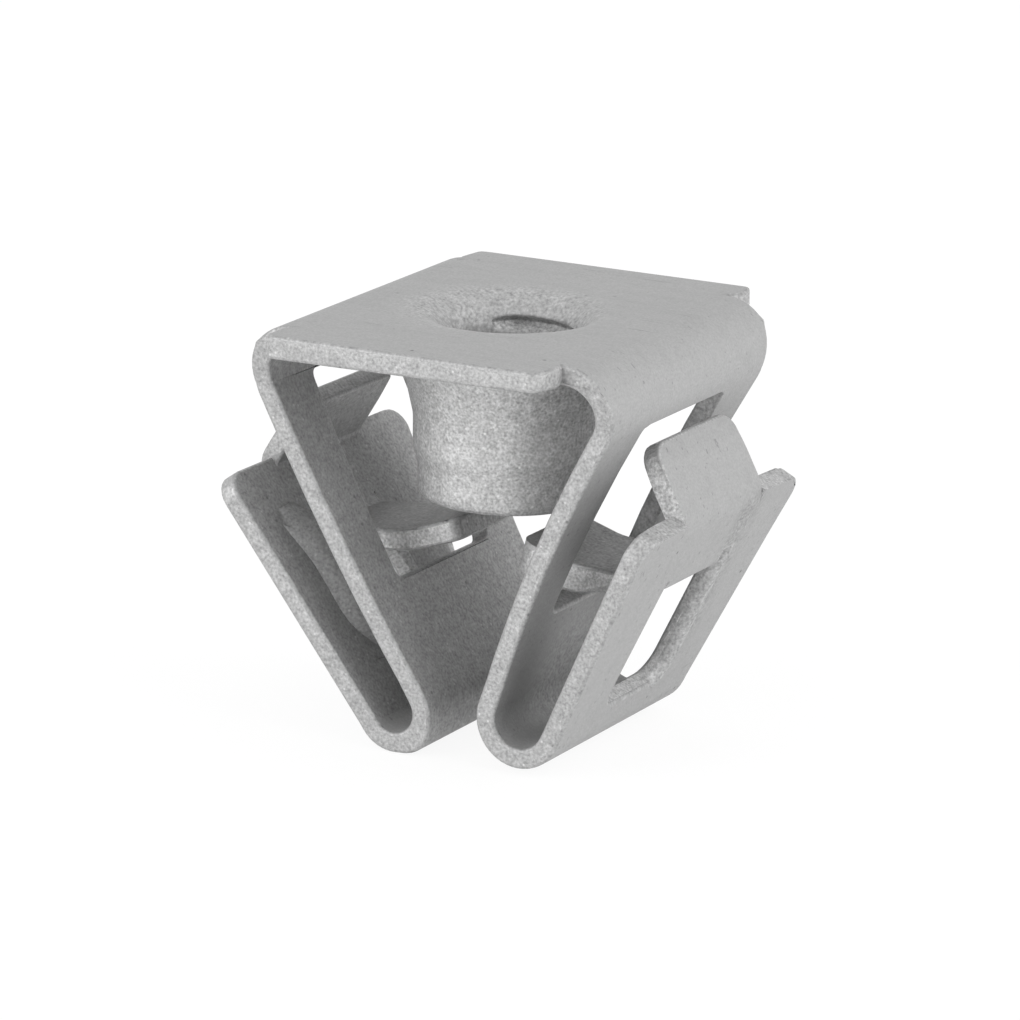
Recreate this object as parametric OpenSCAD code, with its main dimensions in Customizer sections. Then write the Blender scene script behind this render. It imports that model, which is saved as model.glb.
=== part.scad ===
// Panel nut: one strip of spring steel folded into a top plate with a threaded
// collar, two legs, two spring arms, a catch tab on each arm and a tongue
// lanced out of each arm that reaches in under the collar.
//
// Origin: on the collar's axis, where the lead-in ends and the threaded wall of the
// bore begins, lead_in_r below the plate's upper face. +Z points up out of the collar
// and the two legs spread towards -X and +X.

/* [Sheet] */
// Thickness of the steel strip
sheet_t = 0.8; // [0.6:0.05:1]

/* [Top plate] */
// Size of the plate from front to back
plate_depth = 17.06; // [15.5:0.1:19]
// Reach of the front flange to the right of the collar
front_flange_right = 5.7; // [5.4:0.05:6]
// Reach of the back flange to the right of the collar
back_flange_right = 6.05; // [5.6:0.05:6.2]
// Reach of both flanges to the left of the collar
flange_left = 6.1; // [5.6:0.05:6.2]
// Radius of the plate's corners
flange_corner_r = 0.35; // [0.1:0.05:0.8]
// Distance over which a flange runs out into the strip
flange_runout = 0.3; // [0.1:0.05:0.5]

/* [Collar] */
// Diameter of the smooth wall that the M6 thread is cut in
bore_d = 5; // [4.6:0.1:5.4]
// Radius that leads the screw from the plate into the bore
lead_in_r = 1.55; // [0.6:0.05:1.8]
// Diameter of the collar's root under the plate
collar_root_d = 9.2; // [8.4:0.1:10]
// Length over which the collar narrows from its root to its barrel
collar_taper_len = 3.3; // [2.5:0.1:3.8]
// Diameter of the collar's barrel
collar_upper_d = 7.7; // [7.4:0.1:8.2]
// Diameter of the collar's drawn-down lower end
collar_lower_d = 7.3; // [6.8:0.1:7.3]
// Length of the collar below the plate's upper face
collar_len = 7.4; // [6.4:0.1:7.6]
// Height of the drawn-down lower end
collar_lower_len = 1.6; // [1:0.1:2]
// Radius of the fillet between the plate and the collar
collar_fillet_r = 0.5; // [0.2:0.05:0.7]
// Radius of the collar's lower rim
collar_rim_r = 0.45; // [0.1:0.05:0.6]
// Chamfer at the lower end of the bore
bore_chamfer = 0.3; // [0.1:0.05:0.5]

/* [Legs] */
// Width of the strip where it leaves the plate
strip_plate_w = 13.56; // [12.8:0.1:14.5]
// Width of a leg at its upper end
leg_top_w = 12.5; // [11.5:0.1:12.8]
// Width of the strip round the lower loops
loop_w = 10.8; // [10:0.1:11.4]
// Length of the window in each leg
window_len = 8.75; // [8:0.05:9.2]
// Height of the window's upper edge above the leg's upper end
window_rise = 0.1; // [0.05:0.05:0.4]
// Radius of the windows' corners
window_corner_r = 0.4; // [0.1:0.05:0.8]

/* [Right leg] */
// Distance of the right upper bend from the collar's axis
right_bend_x = 5.9; // [5.7:0.1:6.5]
// Inside radius of the right upper bend
right_bend_r = 1.18; // [0.8:0.02:1.5]
// Angle of the right upper bend
right_bend_turn = 120.3; // [116:0.5:122]
// Length of the right leg
right_leg_len = 12.63; // [12:0.1:13.5]
// Angle through which the right leg bows towards its arm
right_leg_bow = 11.8; // [6:0.2:14]
// Inside radius of the right lower loop
right_loop_r = 1.05; // [0.8:0.05:1.3]
// Angle of the right lower loop
right_loop_turn = 172; // [168:0.5:176]

/* [Left leg] */
// Distance of the left upper bend from the collar's axis
left_bend_x = 5.84; // [5.7:0.1:6.5]
// Inside radius of the left upper bend
left_bend_r = 1.32; // [0.8:0.02:1.5]
// Angle of the left upper bend
left_bend_turn = 114.4; // [111:0.5:117]
// Length of the left leg
left_leg_len = 13.4; // [12.5:0.1:14]
// Angle through which the left leg bows away from its arm
left_leg_bow = -7.6; // [-10:0.2:-3]
// Inside radius of the left lower loop
left_loop_r = 0.85; // [0.7:0.05:1.2]
// Angle of the left lower loop
left_loop_turn = 177.1; // [174:0.1:178]

/* [Arms] */
// Length of the right arm
right_arm_len = 10.05; // [9.5:0.1:11]
// Length of the left arm
left_arm_len = 11.2; // [10.5:0.1:12]
// Reach of the right arm's front ear from the strip's centre line
right_ear_front = 6.7; // [6.1:0.05:7]
// Reach of the right arm's back ear from the strip's centre line
right_ear_back = 6.7; // [6.1:0.05:7]
// Reach of the left arm's front ear from the strip's centre line
left_ear_front = 6.15; // [6.1:0.05:7]
// Reach of the left arm's back ear from the strip's centre line
left_ear_back = 6.8; // [6.1:0.05:7]
// Radius of the ears' corners
ear_r = 0.9; // [0.3:0.1:1.4]

/* [Catch tabs] */
// Width of the catch tabs
catch_w = 6.4; // [5.8:0.1:6.6]
// Clearance between a catch tab and its window on each side
catch_clearance = 0.1; // [0.05:0.01:0.3]
// Length of the flat of the catch tabs
catch_len = 2.9; // [2.2:0.1:3.2]
// Inside radius of the catch tabs' bends
catch_bend_r = 0.3; // [0.2:0.05:0.6]
// Height of the ears above the catch tabs' bends
ear_rise = 0.6; // [0.3:0.1:1]
// Radius of the catch tabs' corners
catch_corner_r = 0.9; // [0.3:0.1:1.2]
// Angle of the right catch tab's bend
right_catch_turn = 54; // [48:1:60]
// Angle of the left catch tab's bend
left_catch_turn = 67; // [58:1:70]

/* [Tongues] */
// Width of the slots that the tongues are lanced from
slot_w = 4.8; // [4.2:0.1:5.2]
// Length of the slots
slot_len = 6; // [5:0.1:6.2]
// Distance of the slots below the arms' upper ends
slot_drop = 3; // [2.7:0.1:3.2]
// Radius of the slots' lower corners
slot_corner_r = 0.9; // [0.2:0.1:1.4]
// Clearance between a tongue and its slot on each side
shear_gap = 0.1; // [0.05:0.01:0.2]
// Inside radius of the fold at the tongues' roots
tongue_fold_r = 0.5; // [0.3:0.05:0.8]
// Angle of the kink half way along the tongues
tongue_kink = 12; // [4:1:16]
// Inside radius of the kink
tongue_kink_r = 2; // [1:0.5:4]
// Length of the tongues beyond the kink
tongue_tip_len = 1.7; // [1.2:0.1:2]
// Radius of the tongues' corners
tongue_corner_r = 0.6; // [0.2:0.1:1]
// Angle of the fold at the right tongue's root
right_tongue_fold = 71; // [66:1:74]
// Length of the right tongue up to its kink
right_tongue_len = 2.9; // [2.4:0.1:3.2]
// Angle of the fold at the left tongue's root
left_tongue_fold = 61; // [57:1:64]
// Length of the left tongue up to its kink
left_tongue_len = 3.6; // [3:0.1:3.8]

/* [Hidden] */

$fn = 96;
steel = "silver";
cut_margin = 1;
arc_margin = 0.01;
bore_r = bore_d / 2;
window_w = catch_w + 2 * catch_clearance;
tongue_w = slot_w - 2 * shear_gap;

// Points of an arc
function arc(centre, r, start, sweep, steps = 6) =
    [for (i = [0:steps])
        let (a = start + sweep * i / steps)
        centre + r * [cos(a), sin(a)]];

// Unit vector in the plane
function unit(v) = v / norm(v);

// Points that round the corner p to radius r, between its neighbours before and after
function rounded_corner(before, p, after, r) =
    let (u = unit(before - p),
         v = unit(after - p),
         half_angle = acos(u * v) / 2,
         start = atan2(u.x, -u.y) + (cross(u, v) > 0 ? 180 : 0))
    arc(p + unit(u + v) * r / sin(half_angle), r, start,
        (cross(u, v) > 0 ? -1 : 1) * (180 - 2 * half_angle));

// Closed outline through corners [x, y, radius], each rounded where it has a radius
function outline(corners) =
    let (n = len(corners),
         points = [for (c = corners) [c.x, c.y]])
    [for (i = [0:n - 1])
        each corners[i].z > 0
            ? rounded_corner(points[(i + n - 1) % n], points[i], points[(i + 1) % n], corners[i].z)
            : [points[i]]];

// Corners of one edge, followed by their mirror images across y = 0
function both_edges(corners) =
    concat(corners, [for (i = [len(corners) - 1:-1:0]) [corners[i].x, -corners[i].y, corners[i].z]]);

// The strip is laid out in the X-Z plane by stations [x, z, heading]. A station lies on
// the strip's face, which is the plate's upper face and the side of every stretch that
// follows on from it. The strip's back lies sheet_t behind the face. A positive turn
// bends the strip towards its face, and a negative one towards its back.
function normal(at) = [-sin(at.z), cos(at.z)];
function face(at) = [at.x, at.y];
function back(at) = face(at) - sheet_t * normal(at);

// Station further along a straight stretch
function ahead(at, length) =
    [at.x + length * cos(at.z), at.y + length * sin(at.z), at.z];

// Station after a bend with inside radius r
function turned(at, r, turn) =
    let (offset = turn > 0 ? r : -sheet_t - r,
         after = [0, 0, at.z + turn],
         p = face(at) + offset * (normal(at) - normal(after)))
    [p.x, p.y, after.z];

// Stations round a bend, its start and end included
function bent(at, r, turn, steps) =
    [for (i = [0:steps]) turned(at, r, turn * i / steps)];

// The same place on the strip, looking back along it with its two sides exchanged
function reversed(at) =
    let (p = back(at))
    [p.x, p.y, at.z + 180];

function last(list) = list[len(list) - 1];

// Length of strip through the stations, w wide
module sheet(stations, w)
    rotate([90, 0, 0])
        linear_extrude(w, center = true)
            polygon(concat(
                [for (at = stations) face(at)],
                [for (i = [len(stations) - 1:-1:0]) back(stations[i])]));

// Puts what is drawn along +X, with the strip's face at z = 0, at a station
module at_station(at)
    translate([at.x, 0, at.y])
        rotate([0, -at.z, 0])
            children();

// Cutter through the strip, deep enough for the bow of a leg
module through(corners)
    linear_extrude(8 * sheet_t, center = true)
        polygon(outline(corners));

// Plate with flanges that stand out beyond the strip, front and back
module plate() {
    strip_half = strip_plate_w / 2;
    flange_half = plate_depth / 2;
    runout_y = (strip_half + flange_half) / 2 - flange_runout;
    translate([0, 0, -sheet_t])
        linear_extrude(sheet_t)
            for (end = [[-1, front_flange_right], [1, back_flange_right]])
                polygon(outline([
                    [-left_bend_x, 0, 0],
                    [-left_bend_x, end[0] * strip_half, 0],
                    [-flange_left, end[0] * (strip_half + flange_runout), 0],
                    [-flange_left, end[0] * flange_half, flange_corner_r],
                    [end[1], end[0] * flange_half, flange_corner_r],
                    [end[1] + flange_runout, end[0] * runout_y, 0],
                    [right_bend_x, end[0] * strip_half, 0],
                    [right_bend_x, 0, 0]]));
}

// Solid collar under the plate, stepped in and rounded at its lower rim
module collar() {
    root_r = collar_root_d / 2;
    upper_r = collar_upper_d / 2;
    lower_r = collar_lower_d / 2;
    step_z = collar_lower_len - collar_len;
    rotate_extrude()
        polygon(outline([
            [0, -sheet_t / 2, 0],
            [root_r + 2 * collar_fillet_r, -sheet_t / 2, 0],
            [root_r + 2 * collar_fillet_r, -sheet_t, 0],
            [root_r, -sheet_t, collar_fillet_r],
            [upper_r, -sheet_t - collar_taper_len, 0],
            [upper_r, step_z + upper_r - lower_r, 0],
            [lower_r, step_z, 0],
            [lower_r, -collar_len, collar_rim_r],
            [0, -collar_len, 0]]));
}

// Bore with its lead-in and its lower chamfer
module bore() {
    lead_in_centre = [bore_r + lead_in_r, -lead_in_r];
    rotate_extrude()
        polygon(concat(
            [[0, cut_margin], [lead_in_centre.x, cut_margin]],
            arc(lead_in_centre, lead_in_r, 90, 90, 12),
            [[bore_r, bore_chamfer - collar_len],
             [bore_r + bore_chamfer, -collar_len],
             [bore_r + bore_chamfer, -collar_len - cut_margin],
             [0, -collar_len - cut_margin]]));
}

// Upper bend, narrowing from the plate to the leg
module upper_bend(stations) {
    narrow_z = back(last(stations)).y;
    edge = [[strip_plate_w / 2, cut_margin], [strip_plate_w / 2, -sheet_t],
            [leg_top_w / 2, narrow_z], [leg_top_w / 2, narrow_z - cut_margin]];
    intersection() {
        sheet(stations, strip_plate_w);
        rotate([90, 0, 90])
            linear_extrude(2 * plate_depth, center = true)
                polygon(concat(edge, [for (i = [len(edge) - 1:-1:0]) [-edge[i].x, edge[i].y]]));
    }
}

// Leg, narrowing towards the loop
module leg(stations, length)
    difference() {
        sheet(stations, leg_top_w);
        at_station(stations[0])
            for (side = [-1, 1])
                through([
                    [0, side * leg_top_w / 2, 0],
                    [length - cut_margin, side * loop_w / 2, 0],
                    [length + cut_margin, side * loop_w / 2, 0],
                    [length + cut_margin, side * leg_top_w, 0],
                    [0, side * leg_top_w, 0]]);
    }

// Cutter for a leg's window, which starts in the upper bend
module window()
    through(both_edges([
        [-window_rise, window_w / 2, window_corner_r],
        [window_len, window_w / 2, window_corner_r]]));

// Cutter that ends a stretch of strip at x = 0 with rounded corners. Its arcs start
// just outside the strip, so that they cross its sides.
module rounded_end(w, r) {
    centre_y = w / 2 + arc_margin - r;
    linear_extrude(8 * sheet_t, center = true)
        polygon(concat(
            arc([-r, centre_y], r, 90, -90),
            arc([-r, -centre_y], r, 0, -90),
            [[-r, -w], [2 * cut_margin, -w], [2 * cut_margin, w], [-r, w]]));
}

// Side of an arm, widening from the loop to its ear, whose reach is negative in front
module ear(stations, length, reach) {
    side = sign(reach);
    difference() {
        translate([0, (side * catch_w / 2 + reach) / 2, 0])
            sheet(concat(stations, [ahead(stations[0], length + cut_margin)]),
                  abs(reach) - catch_w / 2);
        at_station(stations[0])
            through([
                [-cut_margin, side * loop_w / 2, 0],
                [cut_margin / 4, side * loop_w / 2, 0],
                [length, reach, ear_r],
                [length, 0, 0],
                [length + 2 * cut_margin, 0, 0],
                [length + 2 * cut_margin, 2 * reach, 0],
                [-cut_margin, 2 * reach, 0]]);
    }
}

// Arm with its ears, catch tab and slot. Its stations are its root, the slot's two
// ends and the start of the catch tab's bend.
module arm(stations, length, ear_front, ear_back, catch_turn) {
    slot_top = length - slot_drop;
    slot_low = slot_top - slot_len;
    catch_bend = bent(last(stations), catch_bend_r, catch_turn, 5);
    catch_end = ahead(last(catch_bend), catch_len);
    difference() {
        union() {
            sheet(concat(stations, catch_bend, [ahead(catch_end, cut_margin)]), catch_w);
            ear(stations, length, -ear_front);
            ear(stations, length, ear_back);
        }
        at_station(stations[0])
            through(both_edges([
                [slot_low, slot_w / 2, slot_corner_r],
                [slot_top + shear_gap, slot_w / 2, 0]]));
        at_station(catch_end)
            rounded_end(catch_w, catch_corner_r);
    }
}

// Tongue: it carries on down from the arm above the slot's upper end, where it is
// folded in, and is kinked up towards the collar half way along
module tongue(slot_end, catch_start, fold, length) {
    root_fold = bent(reversed(slot_end), tongue_fold_r, -fold, 6);
    kink = bent(ahead(last(root_fold), length), tongue_kink_r, -tongue_kink, 2);
    tip = ahead(last(kink), tongue_tip_len);
    difference() {
        sheet(concat([reversed(catch_start)], root_fold, kink, [ahead(tip, cut_margin)]), tongue_w);
        at_station(tip)
            rounded_end(tongue_w, tongue_corner_r);
    }
}

// One half of the clip, from the end of the plate to the catch tab
module clip_half(bend_x, bend_r, bend_turn, leg_len, leg_bow, loop_r, loop_turn,
                 arm_len, ear_front, ear_back, catch_turn, tongue_fold, tongue_len) {
    bow_r = leg_len / (abs(leg_bow) * PI / 180) - (leg_bow > 0 ? 0 : sheet_t);
    upper = bent([bend_x, 0, 0], bend_r, -bend_turn, 16);
    bow = bent(last(upper), bow_r, leg_bow, 6);
    loop = bent(last(bow), loop_r, loop_turn, 24);
    slot_top = arm_len - slot_drop;
    arm_stations = [for (x = [0, slot_top - slot_len, slot_top, arm_len - ear_rise])
        ahead(last(loop), x)];
    difference() {
        union() {
            upper_bend(upper);
            leg(bow, leg_len);
        }
        at_station(bow[0])
            window();
    }
    sheet(loop, loop_w);
    arm(arm_stations, arm_len, ear_front, ear_back, catch_turn);
    tongue(arm_stations[2], arm_stations[3], tongue_fold, tongue_len);
}

module panel_nut()
    color(steel) translate([0, 0, lead_in_r]) {
        difference() {
            union() {
                plate();
                collar();
            }
            bore();
        }
        clip_half(right_bend_x, right_bend_r, right_bend_turn, right_leg_len, right_leg_bow,
                  right_loop_r, right_loop_turn, right_arm_len, right_ear_front, right_ear_back,
                  right_catch_turn, right_tongue_fold, right_tongue_len);
        mirror([1, 0, 0])
            clip_half(left_bend_x, left_bend_r, left_bend_turn, left_leg_len, left_leg_bow,
                      left_loop_r, left_loop_turn, left_arm_len, left_ear_front, left_ear_back,
                      left_catch_turn, left_tongue_fold, left_tongue_len);
    }

panel_nut();
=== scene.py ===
import math

import bmesh
import bpy
from mathutils import Matrix, Vector
from mathutils.bvhtree import BVHTree


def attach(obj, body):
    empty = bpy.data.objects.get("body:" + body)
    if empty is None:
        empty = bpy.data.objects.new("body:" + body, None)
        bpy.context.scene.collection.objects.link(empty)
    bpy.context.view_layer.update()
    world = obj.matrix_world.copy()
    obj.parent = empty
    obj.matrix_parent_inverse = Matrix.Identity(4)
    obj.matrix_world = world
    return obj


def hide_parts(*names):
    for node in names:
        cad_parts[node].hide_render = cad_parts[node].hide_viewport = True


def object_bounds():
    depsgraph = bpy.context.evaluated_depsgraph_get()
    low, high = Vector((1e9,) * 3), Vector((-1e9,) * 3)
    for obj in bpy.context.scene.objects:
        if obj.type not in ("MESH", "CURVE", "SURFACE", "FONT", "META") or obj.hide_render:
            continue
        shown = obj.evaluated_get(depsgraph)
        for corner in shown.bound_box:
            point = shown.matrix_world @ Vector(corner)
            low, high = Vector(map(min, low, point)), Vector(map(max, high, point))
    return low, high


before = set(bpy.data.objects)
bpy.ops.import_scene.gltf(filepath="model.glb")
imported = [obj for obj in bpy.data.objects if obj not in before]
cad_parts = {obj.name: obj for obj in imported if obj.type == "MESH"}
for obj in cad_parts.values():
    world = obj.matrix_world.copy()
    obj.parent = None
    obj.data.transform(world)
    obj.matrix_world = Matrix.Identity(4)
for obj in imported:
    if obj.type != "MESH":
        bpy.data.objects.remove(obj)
cad_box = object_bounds()

MM = 0.001

# ---------------------------------------------------------------- sizes, in millimetres

SHEET = 0.8
PLATE_TOP = 1.55
PLATE_UNDER = PLATE_TOP - SHEET

# Collar
COLLAR_REACH = 5.1  # nothing but the collar is this near to the axis, under the plate
COLLAR_END = -5.85
LEAD_IN_R = 4.05
LEAD_IN_END = 0.02
CONE_END = -2.55
COLLAR_STEP = -4.15
STEP_INNER_R = 3.3
STEP_SPREAD = 0.2
COLLAR_RINGS = (CONE_END, COLLAR_STEP + 0.3, COLLAR_STEP - 0.3)
RING_R = (3.5, 4.0)
RING_ROUND = 0.2

# Thread
THREAD_PITCH = 1.0
THREAD_MAJOR_R = 3.03
TAP_CORE_R = 2.3  # inside the bore's wall, so the tap cuts nothing here
GROOVE_HALF = 0.485
GROOVE_FLAT_HALF = 0.0625
THREAD_TURNS = 6
THREAD_TOP = 0.55
THREAD_END = 152  # degrees round the axis, where the groove runs out
THREAD_FADE = 0.9  # share of the last turn, after which the groove gets shallow

# Legs and arms: the end of each straight stretch, and its lean
LEG_TOP = (-7.77, -1.445)
LEG_SLOPE = 6.33 / 11.8
LEG_NEAR = 1.35
LEFT_ARM_ROOT = (-2.861, -14.183)
LEFT_ARM_LEAN = 55.1
RIGHT_ARM_ROOT = (4.337, -13.712)
RIGHT_ARM_LEAN = 63.5
ARM_DEPTH = (-0.85, 0.1)  # heights that belong to an arm's sheet

# Tongues, slots and tabs
TONGUE_Z = (-9.6, -5.95)
TONGUE_REACH = 5.6
TONGUE_HALF = 2.35
TONGUE_FLAT_HALF = 2.31
RIGHT_TONGUE_X = (1.4, 4.3)
RIGHT_TIP_X = (0, 2.7)
LEFT_TONGUE_X = (-4.3, -1.2)
SLOT_HALF = 2.4
SLOT_SIDE = 2.45
SLOT_FOOT = 1.0
LEFT_SLOT_HEAD = 6.9
RIGHT_SLOT_HEAD = 5.2
TAB_HALF = 3.2
TAB_TIP_INNER = (-7.39, -2.7)
TAB_TIP_OUTER = (-8.07, -2.28)
LEFT_TAB_SHIFT = 0.4
WINDOW_SIDE = (2.85, 3.35)
WAIST_Y = 5.1
WAIST_UP = (5.1, 5.3)

# Edges
EDGE_ROUND = 0.13
SLOT_ROUND = 0.45
SHARP_EDGE = 38
SMOOTH_ANGLE = 32
MERGE = 0.008

# Metal that closes the bend's relief at the back left corner
WEB_SIZE = (0.5, 0.6, SHEET)
WEB_PLACE = (-6.03, 6.93, PLATE_TOP - SHEET / 2)

# Rim that the lancing punch leaves beside a slot: distance up the arm, shift away from
# the slot, and the share of its width and height
RIM_RINGS = [
    (9.2, 0.75, 0.8, 0.15), (8.6, 0.62, 1.0, 0.6), (8.0, 0.45, 1.0, 0.9), (7.3, 0.22, 1.0, 1.0),
    (6.6, 0.05, 1.0, 1.0), (5.6, 0.0, 1.0, 1.0), (4.6, 0.0, 1.0, 1.0), (3.9, -0.05, 0.95, 1.0),
    (3.3, -0.2, 0.8, 0.9), (2.8, -0.35, 0.6, 0.7), (2.3, -0.5, 0.4, 0.3),
]
RIM_SECTION = [
    (0.0, -0.35), (1.5, -0.35), (1.42, -0.05), (1.22, 0.32), (0.92, 0.6), (0.52, 0.8),
    (0.15, 0.86), (0.0, 0.75),
]

# Studio, in metres and watts
ROOM_LIGHT = 0.84
FLOOR_SIZE = 1.2
FLOOR_GAP = 0.00002
FLOOR_GREY = 0.9
FLOOR_GLOW = 1.03
FLOOR_GLOW_SHARE = 0.88
LAMP_AIM = (0, 0, -0.004)
LAMP_POWER = 0.9

# Camera: degrees, then millimetres from the plate's top, then pixels
CAMERA_TURN = (29.01, 15.389, -0.6552)
CAMERA_DISTANCE = 219.3806
CAMERA_SHIFT = (0.1068, 7.7584)
FOCAL_PIXELS = 5652
PICTURE_PIXELS = 1020
SENSOR_WIDTH = 36


# ---------------------------------------------------------------- small helpers


def make_active(piece):
    bpy.ops.object.select_all(action="DESELECT")
    piece.select_set(True)
    bpy.context.view_layer.objects.active = piece


def edit(piece, mode="FACE"):
    """Opens a piece in edit mode with nothing selected."""
    make_active(piece)
    bpy.ops.object.mode_set(mode="EDIT")
    bpy.ops.mesh.select_mode(type=mode)
    bpy.ops.mesh.select_all(action="DESELECT")


def edit_all(piece, mode="FACE"):
    edit(piece, mode)
    bpy.ops.mesh.select_all(action="SELECT")


def leave_edit():
    bpy.ops.object.mode_set(mode="OBJECT")


def apply_modifier(piece, kind, **settings):
    make_active(piece)
    modifier = piece.modifiers.new(kind.title(), kind)
    for name, value in settings.items():
        setattr(modifier, name, value)
    bpy.ops.object.modifier_apply(modifier=modifier.name)


def place_in_mesh(piece):
    make_active(piece)
    bpy.ops.object.transform_apply(location=True, rotation=True, scale=True)


def carry_films(piece):
    for film in FILMS:
        piece.data.materials.append(film)


def within(value, span):
    return span[0] < value < span[1]


def reach(value, start, end):
    """0 before start, 1 after end, and even between them."""
    return min(1.0, max(0.0, (value - start) / (end - start)))


# ---------------------------------------------------------------- materials


def node_tree(name):
    material = bpy.data.materials.new(name)
    material.use_nodes = True
    nodes = material.node_tree.nodes
    nodes.clear()
    output = nodes.new("ShaderNodeOutputMaterial")
    surface = nodes.new("ShaderNodeBsdfPrincipled")
    material.node_tree.links.new(surface.outputs[0], output.inputs["Surface"])
    return material, nodes, material.node_tree.links, surface


def on_piece(nodes, links, shift, stretch):
    """Object coordinates, stretched and then shifted."""
    place = nodes.new("ShaderNodeTexCoord")
    mapping = nodes.new("ShaderNodeMapping")
    mapping.inputs["Location"].default_value = shift
    mapping.inputs["Scale"].default_value = stretch
    links.new(place.outputs["Object"], mapping.inputs["Vector"])
    return mapping.outputs["Vector"]


def axes_of_piece(nodes, links):
    """X, Y and Z of a point on the piece."""
    place = nodes.new("ShaderNodeTexCoord")
    axes = nodes.new("ShaderNodeSeparateXYZ")
    links.new(place.outputs["Object"], axes.inputs[0])
    return axes.outputs


def grain(nodes, links, stretch, scale, detail, seed):
    """Noise over the piece, in spots of about 1 / scale millimetres."""
    noise = nodes.new("ShaderNodeTexNoise")
    noise.inputs["Scale"].default_value = 1.0
    noise.inputs["Detail"].default_value = detail
    noise.inputs["Roughness"].default_value = 0.55
    shift = [seed * 1.7, seed * 2.3, seed * 3.1]
    place = on_piece(nodes, links, shift, [s * scale / MM for s in stretch])
    links.new(place, noise.inputs["Vector"])
    return noise.outputs["Fac"]


def ramp(nodes, links, value, stops):
    """Grey levels along a value: stops are (position, level)."""
    colours = nodes.new("ShaderNodeValToRGB")
    elements = colours.color_ramp.elements
    while len(elements) < len(stops):
        elements.new(0.5)
    for element, (position, level) in zip(elements, stops):
        element.position = position
        element.color = (level, level, level, 1)
    links.new(value, colours.inputs["Fac"])
    return colours.outputs["Color"]


def blend(nodes, links, kind, fac, a, b):
    """Mixes two sources, each a socket or a grey level, by a socket or a share."""
    mix = nodes.new("ShaderNodeMix")
    mix.data_type = "RGBA"
    mix.blend_type = kind
    if isinstance(fac, (int, float)):
        mix.inputs["Factor"].default_value = fac
    else:
        links.new(fac, mix.inputs["Factor"])
    for socket, source in ((mix.inputs[6], a), (mix.inputs[7], b)):
        if isinstance(source, (int, float)):
            socket.default_value = (source, source, source, 1)
        else:
            links.new(source, socket)
    return mix.outputs[2]


def fade(nodes, links, value, start, end):
    """1 before start and 0 after end, in millimetres."""
    share = nodes.new("ShaderNodeMapRange")
    for name, level in (("From Min", start * MM), ("From Max", end * MM),
                        ("To Min", 1.0), ("To Max", 0.0)):
        share.inputs[name].default_value = level
    links.new(value, share.inputs["Value"])
    return share.outputs["Result"]


def mottled(nodes, links, base, mottle, grain_size, seed):
    """Grey of the coating over rough steel, and the fine height of its grain."""
    fine = grain(nodes, links, (1, 1, 1), 1 / grain_size, 5.0, seed)
    patches = grain(nodes, links, (1, 1, 1), 0.3 / grain_size, 2.0, seed + 5)
    dark, light = base * (1 - 1.5 * mottle), base * (1 + 1.6 * mottle)
    colour = ramp(nodes, links, fine, [(0.28, dark), (0.5, base), (0.74, light)])
    slow = ramp(nodes, links, patches, [(0.34, 1 - 0.7 * mottle), (0.66, 1.0)])
    return blend(nodes, links, "MULTIPLY", 1.0, colour, slow), fine


def marks(nodes, links, colour, spacing, size, rarity, level, seed):
    """Sparse round marks of one grey level, such as pits or bright flakes."""
    cells = nodes.new("ShaderNodeTexVoronoi")
    cells.inputs["Scale"].default_value = 1 / (spacing * MM)
    shift = [seed * 0.013, seed * 0.007, seed * 0.011]
    links.new(on_piece(nodes, links, shift, (1, 1, 1)), cells.inputs["Vector"])
    spot = ramp(
        nodes, links, cells.outputs["Distance"],
        [(0.4 * size / spacing, 1.0), (size / spacing, 0.0)],
    )
    chosen = nodes.new("ShaderNodeSeparateColor")
    links.new(cells.outputs["Color"], chosen.inputs[0])
    rare = ramp(nodes, links, chosen.outputs[0], [(rarity, 0.0), (rarity + 0.02, 1.0)])
    mark = blend(nodes, links, "MULTIPLY", 1.0, spot, rare)
    return blend(nodes, links, "MIX", mark, colour, level)


def round_the_collar(nodes, links, inner, outer, off_x):
    """1 inside the dimple round the collar's mouth, fading to 0 on the flat plate."""
    flat = on_piece(nodes, links, [-off_x * MM, 0, 0], [1, 1, 0])
    length = nodes.new("ShaderNodeVectorMath")
    length.operation = "LENGTH"
    links.new(flat, length.inputs[0])
    return fade(nodes, links, length.outputs["Value"], inner, outer)


def beside_the_slots(nodes, links):
    """1 where the lancing punch has scuffed the arms behind their slots."""
    axes = axes_of_piece(nodes, links)
    share = fade(nodes, links, axes["Y"], 2.9, 4.0)
    for axis, start, end in (("Z", -5.6, -4.6), ("Z", -11.0, -12.6), ("Y", 2.0, 1.2)):
        edge = fade(nodes, links, axes[axis], start, end)
        share = blend(nodes, links, "MULTIPLY", 1.0, share, edge)
    return share


def painted_fold_shade(nodes, links):
    """1 on the right leg's outer face below the fold, where the coating is darkened as painted
    shade.
    """
    axes = axes_of_piece(nodes, links)
    across = nodes.new("ShaderNodeMath")
    across.operation = "MULTIPLY_ADD"
    across.inputs[1].default_value = -0.46
    links.new(axes["Z"], across.inputs[0])
    links.new(axes["X"], across.inputs[2])
    share = fade(nodes, links, axes["Z"], -4.0, -1.2)
    for start, end in ((8.9, 9.8), (7.4, 6.6)):
        edge = fade(nodes, links, across.outputs[0], start, end)
        share = blend(nodes, links, "MULTIPLY", 1.0, share, edge)
    return share


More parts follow.
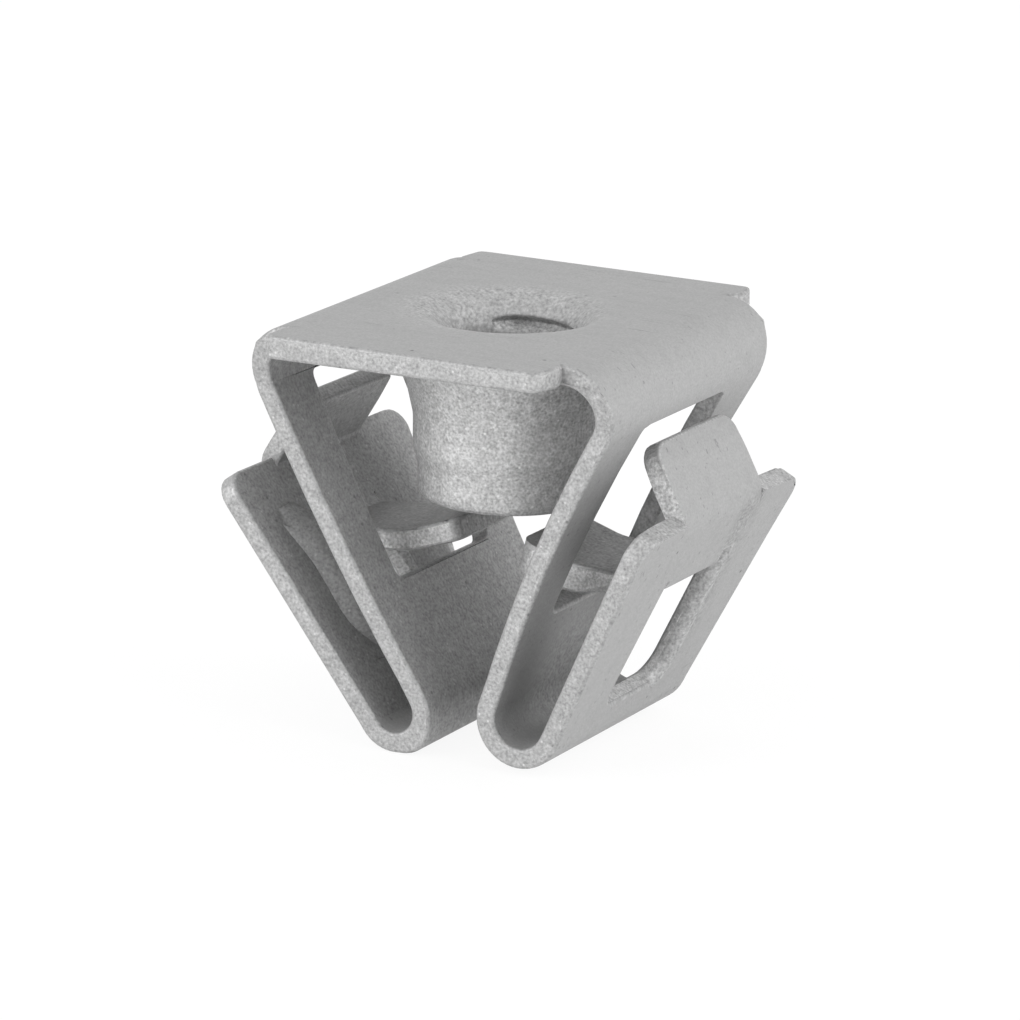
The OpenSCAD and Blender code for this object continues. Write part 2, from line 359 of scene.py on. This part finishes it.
def finish_film(nodes, links, surface, colour, height, roughness, depth, metallic):
    """Joins a film's colour, sheen and relief to its surface."""
    links.new(colour, surface.inputs["Base Color"])
    sheen = ramp(nodes, links, height, [(0.3, roughness + 0.08), (0.7, roughness - 0.06)])
    links.new(sheen, surface.inputs["Roughness"])
    surface.inputs["Metallic"].default_value = metallic
    bump = nodes.new("ShaderNodeBump")
    bump.inputs["Distance"].default_value = depth * MM
    bump.inputs["Strength"].default_value = 1.0
    links.new(height, bump.inputs["Height"])
    links.new(bump.outputs["Normal"], surface.inputs["Normal"])


def rough_film(name, base, mottle, grain_size, roughness, depth, seed):
    """Zinc flake over drawn, sheared or pressed steel."""
    material, nodes, links, surface = node_tree(name)
    colour, height = mottled(nodes, links, base, mottle, grain_size, seed)
    colour = marks(nodes, links, colour, spacing=0.4, size=0.065, rarity=0.55,
                   level=base * 1.4, seed=seed)
    colour = marks(nodes, links, colour, spacing=0.6, size=0.09, rarity=0.65,
                   level=base * 0.55, seed=seed + 3)
    finish_film(nodes, links, surface, colour, height, roughness, depth, metallic=0.35)
    return material


def smooth_film(name, base):
    """Zinc flake over rolled steel: faint rolling lines, scratches and a few pits."""
    material, nodes, links, surface = node_tree(name)
    colour, height = mottled(nodes, links, base, mottle=0.06, grain_size=0.09, seed=1)
    lines = grain(nodes, links, stretch=(0.14, 1, 1), scale=1.6, detail=3.0, seed=12)
    lines = ramp(nodes, links, lines, [(0.3, 0.95), (0.52, 1.0)])
    colour = blend(nodes, links, "MULTIPLY", 1.0, colour, lines)
    scratches = grain(nodes, links, stretch=(0.1, 1.6, 1), scale=3.2, detail=1.0, seed=31)
    scratches = ramp(nodes, links, scratches, [(0.255, 0.72), (0.29, 1.0)])
    colour = blend(nodes, links, "MULTIPLY", 1.0, colour, scratches)
    colour = marks(nodes, links, colour, spacing=1.3, size=0.1, rarity=0.72,
                   level=base * 0.4, seed=4)
    colour = marks(nodes, links, colour, spacing=0.45, size=0.06, rarity=0.82,
                   level=base * 0.72, seed=8)
    dimple = round_the_collar(nodes, links, inner=3.3, outer=4.7, off_x=-0.5)
    rough, grainy = mottled(nodes, links, base * 1.12, mottle=0.22, grain_size=0.13, seed=20)
    colour = blend(nodes, links, "MIX", dimple, colour, rough)
    height = blend(nodes, links, "MIX", dimple, height, grainy)
    scuff = beside_the_slots(nodes, links)
    scuffed, scuffs = mottled(nodes, links, base * 0.93, mottle=0.2, grain_size=0.13, seed=40)
    colour = blend(nodes, links, "MIX", scuff, colour, scuffed)
    # Painted shade: the right leg's outer face below the fold is darkened to 0.8.
    colour = blend(nodes, links, "MULTIPLY", painted_fold_shade(nodes, links), colour, 0.8)
    height = blend(nodes, links, "MIX", scuff, height, scuffs)
    finish_film(nodes, links, surface, colour, height, roughness=0.58, depth=0.006, metallic=0.3)
    return material


FILMS = [
    smooth_film("zinc_flake_rolled", base=0.4),
    rough_film("zinc_flake_inner", base=0.385, mottle=0.2, grain_size=0.12,
               roughness=0.55, depth=0.012, seed=3),
    rough_film("zinc_flake_sheared", base=0.455, mottle=0.24, grain_size=0.12,
               roughness=0.5, depth=0.02, seed=7),
    # The drawn film is the collar's own coating, and it is also used as painted light on slot
    # walls and front cuts.
    rough_film("zinc_flake_drawn_and_painted_light", base=0.58, mottle=0.28, grain_size=0.11,
               roughness=0.45, depth=0.02, seed=9),
    rough_film("zinc_flake_thread", base=0.4, mottle=0.3, grain_size=0.12,
               roughness=0.45, depth=0.02, seed=15),
    rough_film("zinc_flake_edge", base=0.42, mottle=0.2, grain_size=0.12,
               roughness=0.5, depth=0.015, seed=17),
]
ROLLED, INNER, SHEARED, DRAWN_AND_PAINTED_LIGHT, THREAD, EDGE = range(len(FILMS))


# ---------------------------------------------------------------- where a place belongs


def on_arm(x, z):
    """Distance up an arm from its root, and height over its inner face."""
    root, lean = (LEFT_ARM_ROOT, LEFT_ARM_LEAN) if x < 0 else (RIGHT_ARM_ROOT, RIGHT_ARM_LEAN)
    lean = math.radians(lean)
    out, up = abs(x) - abs(root[0]), z - root[1]
    return (math.cos(lean) * out + math.sin(lean) * up,
            math.cos(lean) * up - math.sin(lean) * out)


def up_arm(x, z):
    """Distance up the arm whose sheet holds the place, or a negative one beside it."""
    along, height = on_arm(x, z)
    return along if within(height, ARM_DEPTH) else -1.0


def near_left_leg(x, z):
    return abs(x - LEG_TOP[0] - (LEG_TOP[1] - z) * LEG_SLOPE) < LEG_NEAR


def on_tongue_flat(y, z):
    return abs(y) < TONGUE_FLAT_HALF and z < -6.0


def by_tongue(x, y, z, out_to):
    return abs(y) < TONGUE_HALF and within(z, TONGUE_Z) and abs(x) < out_to


# Slot walls get the brighter drawn film: painted light on walls that the lamps leave darker.
def in_painted_lit_slot(x, y, z):
    along, height = on_arm(x, z)
    head = RIGHT_SLOT_HEAD if x > 0 else LEFT_SLOT_HEAD
    return abs(y) < SLOT_SIDE and SLOT_FOOT < along < head and -0.79 < height < -0.01


# ---------------------------------------------------------------- the nut


def nut_copy():
    """The folded strip with its collar, merged into one skin."""
    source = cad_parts["panel_nut"]
    nut = source.copy()
    nut.data = source.data.copy()
    nut.name = "folded_nut"
    nut.data.name = "folded_nut"
    nut.parent = None
    bpy.context.scene.collection.objects.link(nut)
    nut.matrix_world = Matrix()
    nut.data.materials.clear()
    carry_films(nut)
    edit_all(nut, "VERT")
    bpy.ops.mesh.remove_doubles(threshold=MERGE * MM)
    leave_edit()
    return nut


def label_faces(nut):
    """Gives each face its film. A rolled face lies one sheet from the strip's other side."""
    mesh = nut.data
    tree = BVHTree.FromPolygons(
        [v.co for v in mesh.vertices], [p.vertices for p in mesh.polygons]
    )
    for face in mesh.polygons:
        out = face.normal
        hit = tree.ray_cast(face.center - out * 0.01 * MM, -out, 40 * MM)
        depth = hit[3] / MM if hit[3] is not None else math.inf
        face.material_index = film_of_face(*face.center / MM, out, depth)


def film_of_face(x, y, z, out, depth):
    radius = math.hypot(x, y)
    on_collar = radius < COLLAR_REACH and z > COLLAR_END - 0.1
    in_bore = x * out.x + y * out.y < 0 and radius < LEAD_IN_R + 0.1
    if on_collar and in_bore:
        return ROLLED if z > LEAD_IN_END else THREAD
    if within(x, RIGHT_TIP_X) and abs(y) < TONGUE_HALF and -8.5 < z < TONGUE_Z[1]:
        return INNER
    if on_collar and z < PLATE_UNDER - 0.01:
        return DRAWN_AND_PAINTED_LIGHT
    # Painted light: slot walls, tongue front cuts and the right tab's side take the brighter
    # drawn film.
    if in_painted_lit_slot(x, y, z) or on_painted_lit_front_cut(x, y, z, out):
        return DRAWN_AND_PAINTED_LIGHT
    if depth > 1.1 or depth < 0.6:
        return SHEARED
    return INNER if looks_in(x, y, z, out) else ROLLED


def looks_in(x, y, z, out):
    """Whether a face of the sheet is on a tongue or a leg, or looks into the clip."""
    root, lean = (LEFT_ARM_ROOT, LEFT_ARM_LEAN) if x < 0 else (RIGHT_ARM_ROOT, RIGHT_ARM_LEAN)
    outside = abs(root[0]) + (z - root[1]) / math.tan(math.radians(lean)) + 0.2
    return (by_tongue(x, y, z, outside) or (out.z < -0.7 and z > -13)
            or (x * out.x < 0 and out.z < 0.6))


def on_painted_lit_front_cut(x, y, z, out):
    """Whether a face is the front cut edge of a tongue or of the right tab; these faces get the
    brighter drawn film as painted light.
    """
    by_tab = x > 7 and -5.5 < z < -1.5 and abs(y + TAB_HALF) < 0.1
    return out.y < -0.9 and (by_tongue(x, y, z, TONGUE_REACH) or by_tab)


# Small bends and stretches of a used press tool. Each of the next functions takes a place
# on the nut and gives the new one, or nothing where the place isn't on its own form.


def spread_collar_step(x, y, z):
    if math.hypot(x, y) > STEP_INNER_R and abs(z - COLLAR_STEP) < STEP_SPREAD:
        return x, y, z + (STEP_SPREAD if z > COLLAR_STEP else -STEP_SPREAD)


def lower_right_tongue(x, y, z):
    """Drops the tongue, its tip more than its root, and thickens it towards its underside."""
    if on_tongue_flat(y, z) and within(x, RIGHT_TONGUE_X):
        tip = reach(RIGHT_TONGUE_X[1] - x, 0, 2.2)
        x -= 0.35 * tip
        underside = z < -7.7 + (4.1 - x) * 0.33
        return x, y, z - 0.2 - 0.05 * tip - (0.42 if underside else 0)


def raise_left_tongue(x, y, z):
    if on_tongue_flat(y, z) and within(x, LEFT_TONGUE_X) and z > -9:
        tip = reach(x - LEFT_TONGUE_X[0], 0, 2.0)
        x += 0.25 * tip
        underside = z < -7.7 + (x + 3.4) * 0.3
        return x, y, z + 0.2 * tip - (0.12 if underside else 0)


def raise_right_tongue_bend(x, y, z):
    if x > 0 and on_tongue_flat(y, z) and 5.8 < up_arm(x, z) < 6.8:
        lift = 0.3 * reach(6.9 - up_arm(x, z), 0, 0.5)
        lean = math.radians(RIGHT_ARM_LEAN)
        return x + lift * math.cos(lean), y, z + lift * math.sin(lean)


def lower_right_ear(x, y, z):
    if x > 0 and y > 5.6 and up_arm(x, z) > 9:
        return x - 0.04, y, z - 0.12


def shift_left_tab(x, y, z):
    """Moves the tab to the back, and makes its back corner sharper."""
    if x < -7.3 and -6 < z < -2.2 and abs(y) < TAB_HALF + 0.05:
        if y > 2.2 and z > -3.45:
            inside = x + 7.73 > 0.64 * (z + 2.49)
            tip = TAB_TIP_INNER if inside else TAB_TIP_OUTER
            x, y, z = (at + (end - at) * 0.6 for at, end in zip(
                (x, y, z), (tip[0], TAB_HALF, tip[1])))
        return x, y + LEFT_TAB_SHIFT, z


def shift_left_ear(x, y, z):
    if x < -8.3 and y > 5.5 and -6.1 < z < -4.8:
        return x, y + 0.42, z


def widen_left_window(x, y, z):
    if near_left_leg(x, z) and within(y, WINDOW_SIDE) and z < -0.9:
        return x, y + LEFT_TAB_SHIFT + 0.15 * reach(-z, 5, 9), z


def widen_left_leg(x, y, z):
    if x < 0 and z < LEG_TOP[1] and near_left_leg(x, z) and y > 3.5:
        return x, y + 0.45 * reach(-z, 1.4, 6) * (1 - reach(-z, 11.5, 13.3)), z


def slant_left_slot(x, y, z):
    """Leans the slot's back wall, so that it is narrower on the outer face."""
    along, height = on_arm(x, z)
    if x < 0 and within(height, ARM_DEPTH) and 1.2 < y < SLOT_SIDE and along < 8.4:
        return x, y + (0.06 if height > -SHEET / 2 else -0.38) * reach(y, 1.2, 2.3), z


def narrow_left_arm_foot(x, y, z):
    if x < 0 and y > 5.5 and 2 < up_arm(x, z) < 2.4:
        return x, WAIST_Y, z


def slant_right_loop(x, y, z):
    if 0 < x < 3.6 and y > 5 and z < -11:
        return x, y - 1.1 * reach(3.6 - x, 0, 1.3), z


def thicken_front_flange(x, y, z):
    if y < -7 and abs(z - PLATE_UNDER) < 0.06:
        return x, y, z - 0.14 * reach(3.5 - x, 0, 3)


def fill_left_relief(x, y, z):
    """Brings the left bend's back edge out towards the flange, from the top of the bend on."""
    if x < -5.8 and 6.5 < y < 6.9 and z > -0.2:
        round_bend = math.degrees(math.atan2(z + 0.55, -x - 5.84))
        return x, y + 0.28 * reach(round_bend, 35, 62), z


def widen_back_flange(x, y, z):
    if x < -5.7 and y > 7 and z > 0.7:
        return x - 0.2 * reach(-x, 5.75, 6.0), y, z


def fill_left_loop(x, y, z):
    if x < 0 and z < -13.5:
        fuller = 0.12 * reach(x - z, 13.4, 13.9)
        return x + fuller, y, z - fuller


# The first of these that knows the place moves it
BENT_FORMS = (
    spread_collar_step, lower_right_tongue, raise_left_tongue, raise_right_tongue_bend,
    lower_right_ear, shift_left_tab, shift_left_ear, widen_left_window, widen_left_leg,
    slant_left_slot, narrow_left_arm_foot, slant_right_loop,
)
# These then follow each other
PRESSED_FORMS = (thicken_front_flange, fill_left_relief, widen_back_flange, fill_left_loop)


def fit_to_real_nut(nut):
    """Gives the drawn shape the small bends of a real pressing."""
    for vertex in nut.data.vertices:
        place = tuple(vertex.co / MM)
        for bend in BENT_FORMS:
            bent = bend(*place)
            if bent:
                place = bent
                break
        for press in PRESSED_FORMS:
            place = press(*place) or place
        vertex.co = Vector(place) * MM


def on_left_back_edge(place, along):
    """Whether a place is on the left arm's back edge, within a span up the arm."""
    up, height = on_arm(place.x, place.z)
    return place.x < 0 and place.y > 4.9 and -0.85 < height < 0.05 and within(up, along)


def waist_left_arm(nut):
    """Draws the left arm's back edge in under its ear."""
    edit(nut, "EDGE")
    mesh = bmesh.from_edit_mesh(nut.data)
    for edge in mesh.edges:
        a, b = (v.co / MM for v in edge.verts)
        up, height = (abs(p - q) for p, q in zip(on_arm(a.x, a.z), on_arm(b.x, b.z)))
        on_edge = on_left_back_edge(a, (2, 8.5)) and on_left_back_edge(b, (2, 8.5))
        edge.select = on_edge and up > 5 and height < 0.1
    bmesh.update_edit_mesh(nut.data)
    bpy.ops.mesh.subdivide(number_cuts=1)
    bpy.ops.mesh.select_mode(type="VERT")
    mesh = bmesh.from_edit_mesh(nut.data)
    for vertex in mesh.verts:
        if on_left_back_edge(vertex.co / MM, WAIST_UP):
            vertex.co.y = WAIST_Y * MM
    bmesh.update_edit_mesh(nut.data)
    leave_edit()


def merge_flat_faces(nut):
    edit_all(nut)
    bpy.ops.mesh.dissolve_limited(angle_limit=math.radians(0.5), delimit={"MATERIAL"})
    leave_edit()


def relief_web():
    """Block that closes the relief at the back left corner."""
    bpy.ops.mesh.primitive_cube_add(size=1)
    web = bpy.context.active_object
    web.name = "web"
    web.scale = Vector(WEB_SIZE) * MM
    web.location = Vector(WEB_PLACE) * MM
    place_in_mesh(web)
    carry_films(web)
    for face in web.data.polygons:
        face.material_index = ROLLED if abs(face.normal.z) > 0.9 else SHEARED
    return web


def thread_tap():
    """A tap that stands in the bore: one groove of the thread, turned along the axis."""
    bpy.ops.mesh.primitive_circle_add(vertices=4, fill_type="NOTHING")
    tap = bpy.context.active_object
    tap.name = "tap"
    groove = [(TAP_CORE_R, -GROOVE_HALF), (THREAD_MAJOR_R, -GROOVE_FLAT_HALF),
              (THREAD_MAJOR_R, GROOVE_FLAT_HALF), (TAP_CORE_R, GROOVE_HALF)]
    for vertex, (r, z) in zip(tap.data.vertices, groove):
        vertex.co = Vector((r, 0, z + THREAD_TOP - THREAD_TURNS * THREAD_PITCH)) * MM
    apply_modifier(
        tap, "SCREW", angle=2 * math.pi, screw_offset=THREAD_PITCH * MM,
        iterations=THREAD_TURNS, steps=72, render_steps=72, use_merge_vertices=True,
        merge_threshold=0.001 * MM, use_smooth_shade=False,
    )
    edit(tap, "EDGE")
    bpy.ops.mesh.select_non_manifold(extend=False)
    bpy.ops.mesh.fill()
    bpy.ops.mesh.select_all(action="SELECT")
    bpy.ops.mesh.normals_make_consistent(inside=False)
    leave_edit()
    run_out(tap)
    tap.rotation_euler.z = math.radians(THREAD_END)
    place_in_mesh(tap)
    tap.data.materials.append(FILMS[THREAD])
    return tap


def run_out(tap):
    """Makes the end of the tap's last turn shallow, until it leaves the wall alone."""
    for vertex in tap.data.vertices:
        turn = math.atan2(vertex.co.y, vertex.co.x) / math.tau % 1.0
        height = vertex.co.z / MM - THREAD_TOP
        if height > -0.49 and turn < 0.001:
            turn = 1.0
        if height > turn - 1.5 * THREAD_PITCH:
            radius = math.hypot(vertex.co.x, vertex.co.y)
            shrink = 1 - reach(turn, THREAD_FADE, 1.0) * (radius - TAP_CORE_R * MM) / radius
            vertex.co.x *= shrink
            vertex.co.y *= shrink


def slot_rim(name, root, lean, side):
    """Ridge on an arm's inner face, on the slot's front side, drawn out ring by ring."""
    lean = math.radians(lean)
    along = Vector((side * math.cos(lean), 0, math.sin(lean)))
    inward = Vector((-side * math.sin(lean), 0, math.cos(lean)))
    across = inward.cross(along)
    front = -1 if across.y > 0 else 1
    bpy.ops.mesh.primitive_circle_add(vertices=len(RIM_SECTION), fill_type="NGON")
    rim = bpy.context.active_object
    rim.name = name
    up, shift, wide, high = RIM_RINGS[0]
    for vertex, (w, h) in zip(rim.data.vertices, RIM_SECTION):
        vertex.co = Vector((up, front * (SLOT_HALF + shift + w * wide), h * high)) * MM
    edit_all(rim)
    for before, ring in zip(RIM_RINGS, RIM_RINGS[1:]):
        up, shift, wide, high = ring
        step = ((up - before[0]) * MM, front * (shift - before[1]) * MM, 0)
        bpy.ops.mesh.extrude_region_move(TRANSFORM_OT_translate={"value": step})
        bpy.ops.transform.resize(
            value=(1, wide / before[2], high / before[3]),
            center_override=(up * MM, front * (SLOT_HALF + shift) * MM, 0),
        )
    bpy.ops.mesh.select_all(action="SELECT")
    bpy.ops.mesh.normals_make_consistent(inside=False)
    leave_edit()
    rim.matrix_world = Matrix((
        (along.x, across.x, inward.x, root[0] * MM),
        (along.y, across.y, inward.y, 0),
        (along.z, across.z, inward.z, root[1] * MM),
        (0, 0, 0, 1),
    ))
    place_in_mesh(rim)
    carry_films(rim)
    for face in rim.data.polygons:
        face.material_index = INNER
    return rim


def join(nut, cutter, operation):
    apply_modifier(nut, "BOOLEAN", object=cutter, operation=operation, solver="EXACT")
    bpy.data.objects.remove(cutter)


def ease_collar_rings(nut):
    """Rounds the rings where the collar's cone, barrel and drawn end meet."""
    edit(nut, "EDGE")
    mesh = bmesh.from_edit_mesh(nut.data)
    for edge in mesh.edges:
        a, b = (v.co / MM for v in edge.verts)
        radius, other = math.hypot(a.x, a.y), math.hypot(b.x, b.y)
        level = abs(a.z - b.z) < 0.01 and abs(other - radius) < 0.01
        at_ring = any(abs(a.z - ring) < 0.03 for ring in COLLAR_RINGS)
        edge.select = level and at_ring and within(radius, RING_R)
    bmesh.update_edit_mesh(nut.data)
    bpy.ops.mesh.bevel(offset=RING_ROUND * MM, segments=4, affect="EDGES")
    leave_edit()


def ease_edges(nut, chosen, width, segments, film):
    """Rounds the sharp edges that the test picks."""
    edit(nut, "EDGE")
    mesh = bmesh.from_edit_mesh(nut.data)
    for edge in mesh.edges:
        if len(edge.link_faces) == 2 and edge.calc_face_angle_signed() > math.radians(SHARP_EDGE):
            edge.select = chosen(edge)
    bmesh.update_edit_mesh(nut.data)
    bpy.ops.mesh.bevel(
        offset=width * MM, segments=segments, affect="EDGES", clamp_overlap=False,
        material=film,
    )
    leave_edit()


def on_rolled_edge(x, y, z):
    """Whether a place is on the outer edge at the back and foot of the right arm's slot."""
    along, height = on_arm(x, z)
    return x >= 0 and -1.3 < y < SLOT_SIDE and 1.0 < along < 7.2 and abs(height + SHEET) <= 0.03


def rolled_in(edge):
    return all(on_rolled_edge(*v.co / MM) for v in edge.verts)


def left_sharp(x, y, z):
    """Whether a place is at the web, a left tongue's relief or an ear's notch."""
    at_web = x < -5.7 and 6.4 < y < 7.4 and z > 0.5
    at_relief = x < -5 and z < -6 and 2.2 < abs(y) < 2.55 and 7.8 < on_arm(x, z)[0] < 8.7
    at_notch = abs(x) > 6 and 2.9 < abs(y) < 3.8 and -6.4 < z < -4.6
    return at_web or at_relief or at_notch


def outline(edge):
    """Whether an edge lies between a rolled and a sheared face."""
    films = {face.material_index for face in edge.link_faces}
    if any(left_sharp(*v.co / MM) for v in edge.verts):
        return False
    return bool(films & {ROLLED, INNER}) and bool(films & {SHEARED, DRAWN_AND_PAINTED_LIGHT})


def soften_shading(nut):
    make_active(nut)
    bpy.ops.object.shade_smooth_by_angle(angle=math.radians(SMOOTH_ANGLE))
    apply_modifier(nut, "WEIGHTED_NORMAL", mode="FACE_AREA", weight=60, keep_sharp=True)


nut = nut_copy()
label_faces(nut)
fit_to_real_nut(nut)
waist_left_arm(nut)
merge_flat_faces(nut)
join(nut, thread_tap(), "DIFFERENCE")
join(nut, relief_web(), "UNION")
join(nut, slot_rim("left_rim", LEFT_ARM_ROOT, LEFT_ARM_LEAN, side=-1), "UNION")
ease_collar_rings(nut)
ease_edges(nut, rolled_in, SLOT_ROUND, 6, SHEARED)
ease_edges(nut, outline, EDGE_ROUND, 3, EDGE)
soften_shading(nut)
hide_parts("panel_nut")
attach(nut, "root")


# ---------------------------------------------------------------- stage, light, camera


def pale_floor():
    """A pale card under the nut, which shows as white and still takes a soft shadow."""
    floor_z = cad_box[0][2]
    bpy.ops.mesh.primitive_plane_add(size=FLOOR_SIZE, location=(0, 0, floor_z - FLOOR_GAP))
    floor = bpy.context.active_object
    floor.name = "pale_floor"
    place_in_mesh(floor)
    material = bpy.data.materials.new("pale_card")
    material.use_nodes = True
    nodes, links = material.node_tree.nodes, material.node_tree.links
    nodes.clear()
    output = nodes.new("ShaderNodeOutputMaterial")
    card = nodes.new("ShaderNodeBsdfDiffuse")
    card.inputs["Color"].default_value = (FLOOR_GREY, FLOOR_GREY, FLOOR_GREY, 1)
    glow = nodes.new("ShaderNodeEmission")
    glow.inputs["Color"].default_value = (1, 1, 1, 1)
    glow.inputs["Strength"].default_value = FLOOR_GLOW
    path = nodes.new("ShaderNodeLightPath")
    seen = nodes.new("ShaderNodeMath")
    seen.operation = "MAXIMUM"
    links.new(path.outputs["Is Camera Ray"], seen.inputs[0])
    links.new(path.outputs["Is Glossy Ray"], seen.inputs[1])
    share = nodes.new("ShaderNodeMath")
    share.operation = "MULTIPLY"
    share.inputs[1].default_value = FLOOR_GLOW_SHARE
    links.new(seen.outputs[0], share.inputs[0])
    mix = nodes.new("ShaderNodeMixShader")
    links.new(share.outputs[0], mix.inputs[0])
    links.new(card.outputs[0], mix.inputs[1])
    links.new(glow.outputs[0], mix.inputs[2])
    links.new(mix.outputs[0], output.inputs["Surface"])
    floor.data.materials.append(material)


def white_room():
    """An even white room, which the camera sees at full level."""
    world = bpy.data.worlds.new("white_room")
    bpy.context.scene.world = world
    world.use_nodes = True
    nodes, links = world.node_tree.nodes, world.node_tree.links
    nodes.clear()
    output = nodes.new("ShaderNodeOutputWorld")
    path = nodes.new("ShaderNodeLightPath")
    mix = nodes.new("ShaderNodeMixShader")
    links.new(path.outputs["Is Camera Ray"], mix.inputs[0])
    for socket, strength in ((1, ROOM_LIGHT), (2, 1.0)):
        white = nodes.new("ShaderNodeBackground")
        white.inputs["Color"].default_value = (1, 1, 1, 1)
        white.inputs["Strength"].default_value = strength
        links.new(white.outputs[0], mix.inputs[socket])
    links.new(mix.outputs[0], output.inputs["Surface"])


def softbox(name, place, size):
    light = bpy.data.lights.new(name, "AREA")
    light.shape = "SQUARE"
    light.size = size
    light.energy = LAMP_POWER
    lamp = bpy.data.objects.new(name, light)
    lamp.location = place
    aim = Vector(LAMP_AIM) - Vector(place)
    lamp.rotation_euler = aim.to_track_quat("-Z", "Y").to_euler()
    bpy.context.scene.collection.objects.link(lamp)


def long_lens():
    """Camera with a long lens, from the front right and a little above the plate."""
    azimuth, elevation, roll = (math.radians(angle) for angle in CAMERA_TURN)
    back = Vector((
        math.sin(azimuth) * math.cos(elevation),
        -math.cos(azimuth) * math.cos(elevation),
        math.sin(elevation),
    ))
    level_right = Vector((math.cos(azimuth), math.sin(azimuth), 0))
    level_up = back.cross(level_right)
    right = math.cos(roll) * level_right - math.sin(roll) * level_up
    up = math.sin(roll) * level_right + math.cos(roll) * level_up
    spot = (CAMERA_DISTANCE * back - CAMERA_SHIFT[0] * right - CAMERA_SHIFT[1] * up
            + Vector((0, 0, PLATE_TOP)))
    lens = bpy.data.cameras.new("long_lens")
    lens.sensor_width = SENSOR_WIDTH
    lens.lens = FOCAL_PIXELS / PICTURE_PIXELS * SENSOR_WIDTH
    lens.clip_start = 0.01
    lens.clip_end = 10
    camera = bpy.data.objects.new("long_lens", lens)
    camera.matrix_world = Matrix((
        (right.x, up.x, back.x, spot.x * MM),
        (right.y, up.y, back.y, spot.y * MM),
        (right.z, up.z, back.z, spot.z * MM),
        (0, 0, 0, 1),
    ))
    bpy.context.scene.collection.objects.link(camera)
    bpy.context.scene.camera = camera


pale_floor()
white_room()
softbox("left_light", place=(-0.25, -0.38, 0.12), size=0.3)
softbox("right_light", place=(0.4, 0.02, 0.16), size=0.4)
long_lens()
bpy.context.scene.view_settings.view_transform = "Standard"
